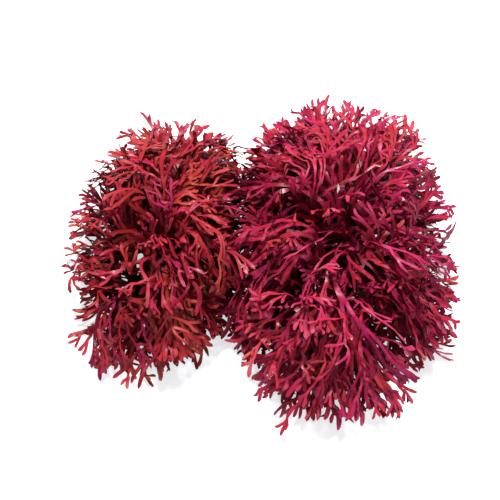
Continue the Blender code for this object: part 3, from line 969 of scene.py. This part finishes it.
    def run(self, branch, start, startPoints):
        length = branch.end - branch.start if branch.parent else self.frond.stipeLength
        first = (startPoints[0] - startPoints[2]).length
        zero = self.ring(branch, 0.0, first)[0]
        offsets = [p - q for p, q in zip(startPoints, zero)]
        before = start
        oldHue = branch.parent.hue if branch.parent else branch.hue
        lowest, highest = tooth["between"]
        for t in self.sharesAlong(branch, length):
            self.hue = oldHue + (branch.hue - oldHue) * t
            points, d, forward, lateral = self.ring(branch, t, self.width(branch, t, first))
            fade = (1 - t) ** 2  # the first rings lean towards the fork that they start from
            points = [p + o * fade for p, o in zip(points, offsets)]
            ring = self.put(points, d)
            self.join(before, ring)
            if branch.parent is None or t > highest or t < lowest:
                self.piece["faces"].append((before[2], before[5], ring[5], ring[2]))
                self.piece["faces"].append((before[0], ring[0], ring[3], before[3]))
            else:
                self.side((before[3], before[0]), (ring[3], ring[0]), forward, -lateral, d)
                self.side((before[2], before[5]), (ring[2], ring[5]), forward, lateral, d)
            before = ring
        if branch.children:
            self.fork(branch, ring, points, forward, d)
        else:
            self.piece["faces"].append(tuple(ring[i] for i in (1, 2, 5, 4, 3, 0)))

    def fork(self, branch, p, points, forward, d):
        tall = branch.width * fine["crotch"]
        shift = forward * tall
        topMid, lowMid = points[1] + shift, points[4] + shift
        inner = [
            points[0].lerp(topMid, 0.5), topMid, topMid.lerp(points[2], 0.5),
            points[3].lerp(lowMid, 0.5), lowMid, lowMid.lerp(points[5], 0.5),
        ]
        a, c, b, x, z, y = self.put(inner, d + tall, (0, 1, 0, 0, 1, 0))
        self.piece["faces"] += (
            (p[0], p[1], a), (a, p[1], c), (p[1], b, c), (p[1], p[2], b),
            (p[3], x, p[4]), (x, z, p[4]), (p[4], z, y), (p[4], y, p[5]),
        )
        left = [points[0], inner[0], inner[1], points[3], inner[3], inner[4]]
        right = [inner[1], inner[2], points[2], inner[4], inner[5], points[5]]
        self.run(branch.children[0], [p[0], a, c, p[3], x, z], left)
        self.run(branch.children[1], [c, b, p[2], z, y, p[5]], right)

    def build(self):
        fan = self.frond.fan
        self.setHue(fan)
        points, d, *_ = self.ring(fan, 0.0, ribbon["stipe"])
        start = self.put(points, d)
        self.piece["faces"].append(tuple(start[i] for i in (0, 3, 4, 5, 2, 1)))
        self.run(fan, start, points)


fineFoot = {  # share of the foot's radius at each height
    "sides": 28,
    "rings": ((1.0, 0.0), (1.02, 0.5), (0.9, 1.4), (0.72, 2.6), (0.5, 3.3)),
    "smallBulges": 7,
    "smallBulge": 0.04,
}


def addHoldfast(piece, root):
    n, rows = fineFoot["sides"], []
    for share, z in fineFoot["rings"]:
        row = len(piece["vertices"])
        for i in range(n):
            a = 2 * math.pi * i / n
            bulge = foot["bulge"] * math.sin(foot["bulges"] * a + root.x)
            small = fineFoot["smallBulge"] * math.sin(fineFoot["smallBulges"] * a + root.y)
            r = foot["radius"] * share * (1 + bulge + small)
            piece["vertices"].append((root.x + r * math.cos(a), root.y + r * math.sin(a), z))
            piece["marks"] += (0.0, 0.5, 0.0, 0.0)
        rows.append(row)
    for low, high in zip(rows, rows[1:]):
        for i in range(n):
            j = (i + 1) % n
            piece["faces"].append((low + i, low + j, high + j, high + i))
    piece["faces"].append(tuple(reversed(range(rows[0], rows[0] + n))))
    piece["faces"].append(tuple(range(rows[-1], rows[-1] + n)))


shade = {"from": 0.91, "over": 0.42}  # shares of the lobes' sizes: where the painted shade inside the clump starts to darken fronds, and how soon it is full


# painted shade: how deep inside the lobes a point lies, which darkens its colour
def paintedShadeInside(points):
    least = np.min([shareOf(lobe, *points.T) for lobe in lobes.values()], axis=0)
    return np.clip((shade["from"] - least) / shade["over"], 0, 1)


sharpFrom = 50  # degrees between faces


def makePiece(piece, shift, material):
    points = np.array(piece["vertices"])
    marks = np.array(piece["marks"], np.float32).reshape(-1, 4)
    # the fourth mark is the painted shade inside the lobes
    marks[:, 3] = paintedShadeInside(points)
    points = (points + np.array(shift)) * mm
    mesh = bpy.data.meshes.new(piece["name"])
    mesh.from_pydata(points, [], piece["faces"])
    attribute = mesh.attributes.new("marks", "FLOAT_COLOR", "POINT")
    attribute.data.foreach_set("color", marks.ravel())
    mesh.shade_smooth()
    mesh.set_sharp_from_angle(angle=math.radians(sharpFrom))
    mesh.materials.append(material)
    obj = bpy.data.objects.new(piece["name"], mesh)
    bpy.context.scene.collection.objects.link(obj)
    return obj


# shader maths: a socket with operators

class Value:
    def __init__(self, tree, socket):
        self.tree, self.socket = tree, socket

    def math(self, operation, *others, clamp=False):
        node = self.tree.nodes.new("ShaderNodeMath")
        node.operation, node.use_clamp = operation, clamp
        for i, item in enumerate((self, *others)):
            if isinstance(item, Value):
                self.tree.links.new(item.socket, node.inputs[i])
            else:
                node.inputs[i].default_value = item
        return Value(self.tree, node.outputs[0])

    def __add__(self, other):
        return self.math("ADD", other)

    __radd__ = __add__

    def __sub__(self, other):
        return self.math("SUBTRACT", other)

    def __rsub__(self, other):
        return self * -1 + other

    def __mul__(self, other):
        return self.math("MULTIPLY", other)

    __rmul__ = __mul__

    def __pow__(self, other):
        return self.math("POWER", other)

    def clamped(self):
        return self.math("ADD", 0.0, clamp=True)


class Shader:
    def __init__(self, name):
        self.material = bpy.data.materials.new(name)
        self.material.use_nodes = True
        self.tree = self.material.node_tree
        self.tree.nodes.clear()

    def node(self, kind, settings=None, **values):
        node = self.tree.nodes.new(kind)
        for name, value in (settings or {}).items():
            if name == "stops":
                elements = node.color_ramp.elements
                elements.remove(elements[1])
                elements[0].position, elements[0].color = value[0][0], (*value[0][1], 1)
                for at, colour in value[1:]:
                    elements.new(at).color = (*colour, 1)
            else:
                setattr(node, name, value)
        for name, value in values.items():
            numbered = name[0] == "i" and name[1:].isdigit()
            socket = node.inputs[int(name[1:]) if numbered else name.replace("_", " ")]
            if isinstance(value, Value):
                self.tree.links.new(value.socket, socket)
            elif isinstance(value, tuple) and len(value) == 3 and socket.type == "RGBA":
                socket.default_value = (*value, 1)
            else:
                socket.default_value = value
        return node

    def value(self, node, output=0):
        return Value(self.tree, node.outputs[output])

    def mix(self, share, a, b):
        return self.value(self.node("ShaderNodeMix", {"data_type": "RGBA"}, i0=share, i6=a, i7=b), 2)

    def noise(self, where, scale, detail=2.0, rough=0.5):
        return self.value(
            self.node("ShaderNodeTexNoise", Vector=where, Scale=scale, Detail=detail, Roughness=rough)
        )


# per colour: dark is the colour of the painted shade inside the clump and towards the roots, and of the
# darker edges; the pale colour is that of the painted highlights and of the painted light on the tips
looks = {
    "scarlet": {
        "dark": (0.034, 0.0005, 0.0018), "through": (0.31, 0.009, 0.015), "paintedLight": (0.38, 0.09, 0.1),
        "live": (
            (0.0, (0.26, 0.024, 0.013)), (0.3, (0.245, 0.011, 0.015)), (0.6, (0.23, 0.0075, 0.022)),
            (0.85, (0.225, 0.007, 0.034)), (1.0, (0.21, 0.007, 0.044)),
        ),
    },
    "crimson": {
        "dark": (0.031, 0.0004, 0.0022), "through": (0.3, 0.008, 0.026), "paintedLight": (0.41, 0.085, 0.14),
        "live": (
            (0.0, (0.29, 0.018, 0.018)), (0.25, (0.28, 0.009, 0.024)), (0.6, (0.265, 0.0065, 0.036)),
            (0.85, (0.265, 0.0075, 0.053)), (1.0, (0.22, 0.008, 0.056)),
        ),
    },
    "magenta": {
        "dark": (0.028, 0.0004, 0.003), "through": (0.29, 0.0075, 0.036), "paintedLight": (0.43, 0.085, 0.16),
        "live": (
            (0.0, (0.28, 0.01, 0.022)), (0.3, (0.27, 0.0065, 0.032)), (0.7, (0.27, 0.0075, 0.053)),
            (1.0, (0.22, 0.008, 0.058)),
        ),
    },
}
blade = {
    "blotchScale": 160.0,
    "grainScale": 900.0,
    "patchScale": 90.0,
    "hueSpread": 0.3,
    "rootShadeAndBlotches": (1.5, 0.9, -0.06),  # how fast the painted shade towards the root lifts along the frond, random tone by blotches, and the offset at its root
    "tipFrom": 0.6,  # where tips start to get pale painted light, how fast, and how much
    "tipRate": 2.4,
    "tipLightPaint": 0.1,
    # painted highlights: where the pale patches start, how fast, and how strong
    "highlightFrom": 0.52,
    "highlightRate": 5,
    "highlightPaint": 0.45,
    "edgePower": 7,
    "edgeDark": 0.8,
    "bump": (0.3, 0.0004, 1.5),
    "rough": 0.5,
    "roughSpread": 0.3,
    "wetFrom": 0.5,
    "wetRate": 6,
    "wet": (0.32, 0.04),  # coat of the wet patches, and what is everywhere
    "coatRough": 0.27,
    "specular": 0.03,
    "throughShare": 0.16,
}


def frondMaterial(name, look):
    s = Shader(name)
    marks = s.node("ShaderNodeAttribute", {"attribute_name": "marks"})
    parts = s.node("ShaderNodeSeparateColor", i0=s.value(marks, 0))
    tone, hue, edge = (s.value(parts, i) for i in range(3))
    # painted shade, darker deeper inside the lobes
    paintedShade = s.value(marks, 3)
    where = s.value(s.node("ShaderNodeTexCoord"), "Object")
    blotches = s.noise(where, blade["blotchScale"], 3.0, 0.6)
    grain = s.noise(where, blade["grainScale"])
    patches = s.noise(where, blade["patchScale"])
    shift = (blotches - 0.5) * blade["hueSpread"]
    live = s.value(s.node("ShaderNodeValToRGB", {"stops": look["live"]}, Fac=hue + shift))
    along, byBlotch, atRoot = blade["rootShadeAndBlotches"]
    # darker towards the root: painted shade deep in the clump, with random tone by blotches
    rootShadeAndTone = (tone * along + (blotches - 0.5) * byBlotch + atRoot).clamped()
    # painted light on the tips, none where the painted shade is
    paintedTipLight = ((tone - blade["tipFrom"]) * blade["tipRate"]).clamped() * (1 - paintedShade) * blade["tipLightPaint"]
    # painted highlights: pale pink patches by blotches
    paintedHighlights = ((blotches - blade["highlightFrom"]) * blade["highlightRate"]).clamped() * rootShadeAndTone * blade["highlightPaint"]
    colour = s.mix(rootShadeAndTone, look["dark"], live)
    colour = s.mix(paintedHighlights + paintedTipLight, colour, look["paintedLight"])
    colour = s.mix(edge ** blade["edgePower"] * blade["edgeDark"], colour, look["dark"])
    # painted shade deeper inside the lobes
    colour = s.mix(paintedShade, colour, look["dark"])
    strength, distance, coarse = blade["bump"]
    bump = s.node("ShaderNodeBump", Strength=strength, Distance=distance, Height=grain + blotches * coarse)
    rough = (grain - 0.5) * blade["roughSpread"] + blade["rough"]
    most, least = blade["wet"]
    # less coat where the painted shade is
    wet = (((patches - blade["wetFrom"]) * blade["wetRate"]).clamped() * most + least) * (1 - paintedShade)
    skin = s.node(
        "ShaderNodeBsdfPrincipled",
        Base_Color=colour, Roughness=rough, Coat_Weight=wet, Coat_Roughness=blade["coatRough"],
        Specular_IOR_Level=blade["specular"], Normal=s.value(bump, 0),
    )
    through = s.node("ShaderNodeBsdfTranslucent", Color=look["through"])
    both = s.node("ShaderNodeMixShader", i0=blade["throughShare"], i1=s.value(skin), i2=s.value(through))
    s.node("ShaderNodeOutputMaterial", Surface=s.value(both))
    return s.material


def colourOf(plant):
    if plant["side"] == "left":
        return "scarlet"
    return "magenta" if "crown" in plant["name"] else "crimson"


# grow everything, then build one piece for each thallus

plants = thalli()
grown, shift, solidCount = growAll(plants)
print("placed", solidCount, "fronds of the solids and", len(grown) - solidCount, "finer ones between them")

materials = {name: frondMaterial("frond_" + name, look) for name, look in looks.items()}
for index, plant in enumerate(plants):
    colourName = colourOf(plant)
    piece = {"name": plant["name"] + "_fronds", "vertices": [], "faces": [], "marks": []}
    addHoldfast(piece, plant["root"])
    for number, g in enumerate(grown):
        if g.plant == index:
            Blade(g, piece, random.Random(fine["seeds"] + number)).build()
    obj = makePiece(piece, shift, materials[colourName])
    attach(obj, "root")
    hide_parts(plant["name"])
    "fronds_" + colourName
    print(piece["name"], "has", sum(len(face) - 2 for face in piece["faces"]), "triangles")


# floor, light and camera

studio = {
    "elevation": 60,  # degrees that the camera looks down
    "lens": 100,
    "sensor": 36,
    "target": (-4.8, -4.0, 21.0),  # mm, as is the width of the frame at the target
    "frameWidth": 249,
    "clip": (0.01, 20),
    "key": {"place": (-0.02, 0.5, 1.15), "size": 0.4, "power": 47},
    "front": {"place": (0.5, -0.7, 0.9), "size": 0.7, "power": 3},
    "sky": 0.53,
}
sheet = {  # metres; it lies just under the holdfasts
    "half": 3,
    "below": 0.0002,
    "colour": (0.48, 0.482, 0.49),
    "rough": 0.6,
    "specular": 0.1,
    "glow": (0.97, 0.98, 1.0),
    "glowStrength": 0.62,
}


def makeFloor():
    mesh = bpy.data.meshes.new("floor")
    h = sheet["half"]
    mesh.from_pydata([(-h, -h, 0), (h, -h, 0), (h, h, 0), (-h, h, 0)], [], [(0, 1, 2, 3)])
    floor = bpy.data.objects.new("floor", mesh)
    floor.location.z = -sheet["below"]
    bpy.context.scene.collection.objects.link(floor)
    s = Shader("floor_white")
    paper = s.node(
        "ShaderNodeBsdfPrincipled",
        Base_Color=sheet["colour"], Roughness=sheet["rough"], Specular_IOR_Level=sheet["specular"],
        Emission_Color=sheet["glow"], Emission_Strength=sheet["glowStrength"],
    )
    s.node("ShaderNodeOutputMaterial", Surface=s.value(paper))
    mesh.materials.append(s.material)


def makeLight(name):
    lamp = studio[name]
    data = bpy.data.lights.new(name, "AREA")
    data.shape, data.size, data.energy = "DISK", lamp["size"], lamp["power"]
    light = bpy.data.objects.new(name, data)
    light.location = lamp["place"]
    light.rotation_mode = "QUATERNION"
    light.rotation_quaternion = (-Vector(lamp["place"])).to_track_quat("-Z", "Y")
    bpy.context.scene.collection.objects.link(light)


def makeCamera():
    data = bpy.data.cameras.new("camera")
    data.lens, data.sensor_width = studio["lens"], studio["sensor"]
    camera = bpy.data.objects.new("camera", data)
    e = math.radians(studio["elevation"])
    away = studio["frameWidth"] * studio["lens"] / studio["sensor"] * mm
    target = Vector(studio["target"]) * mm
    camera.location = target + Vector((0, -math.cos(e), math.sin(e))) * away
    camera.rotation_mode = "QUATERNION"
    camera.rotation_quaternion = (target - camera.location).to_track_quat("-Z", "Y")
    data.clip_start, data.clip_end = studio["clip"]
    bpy.context.scene.collection.objects.link(camera)
    bpy.context.scene.camera = camera


def makeSky():
    world = bpy.data.worlds.new("studio")
    world.use_nodes = True
    background = world.node_tree.nodes["Background"]
    background.inputs["Color"].default_value = (1, 1, 1, 1)
    background.inputs["Strength"].default_value = studio["sky"]
    bpy.context.scene.world = world


makeFloor()
makeLight("key")
makeLight("front")
makeSky()
makeCamera()
bpy.context.scene.view_settings.view_transform = "Standard"
print("floor, lights and camera are in place")
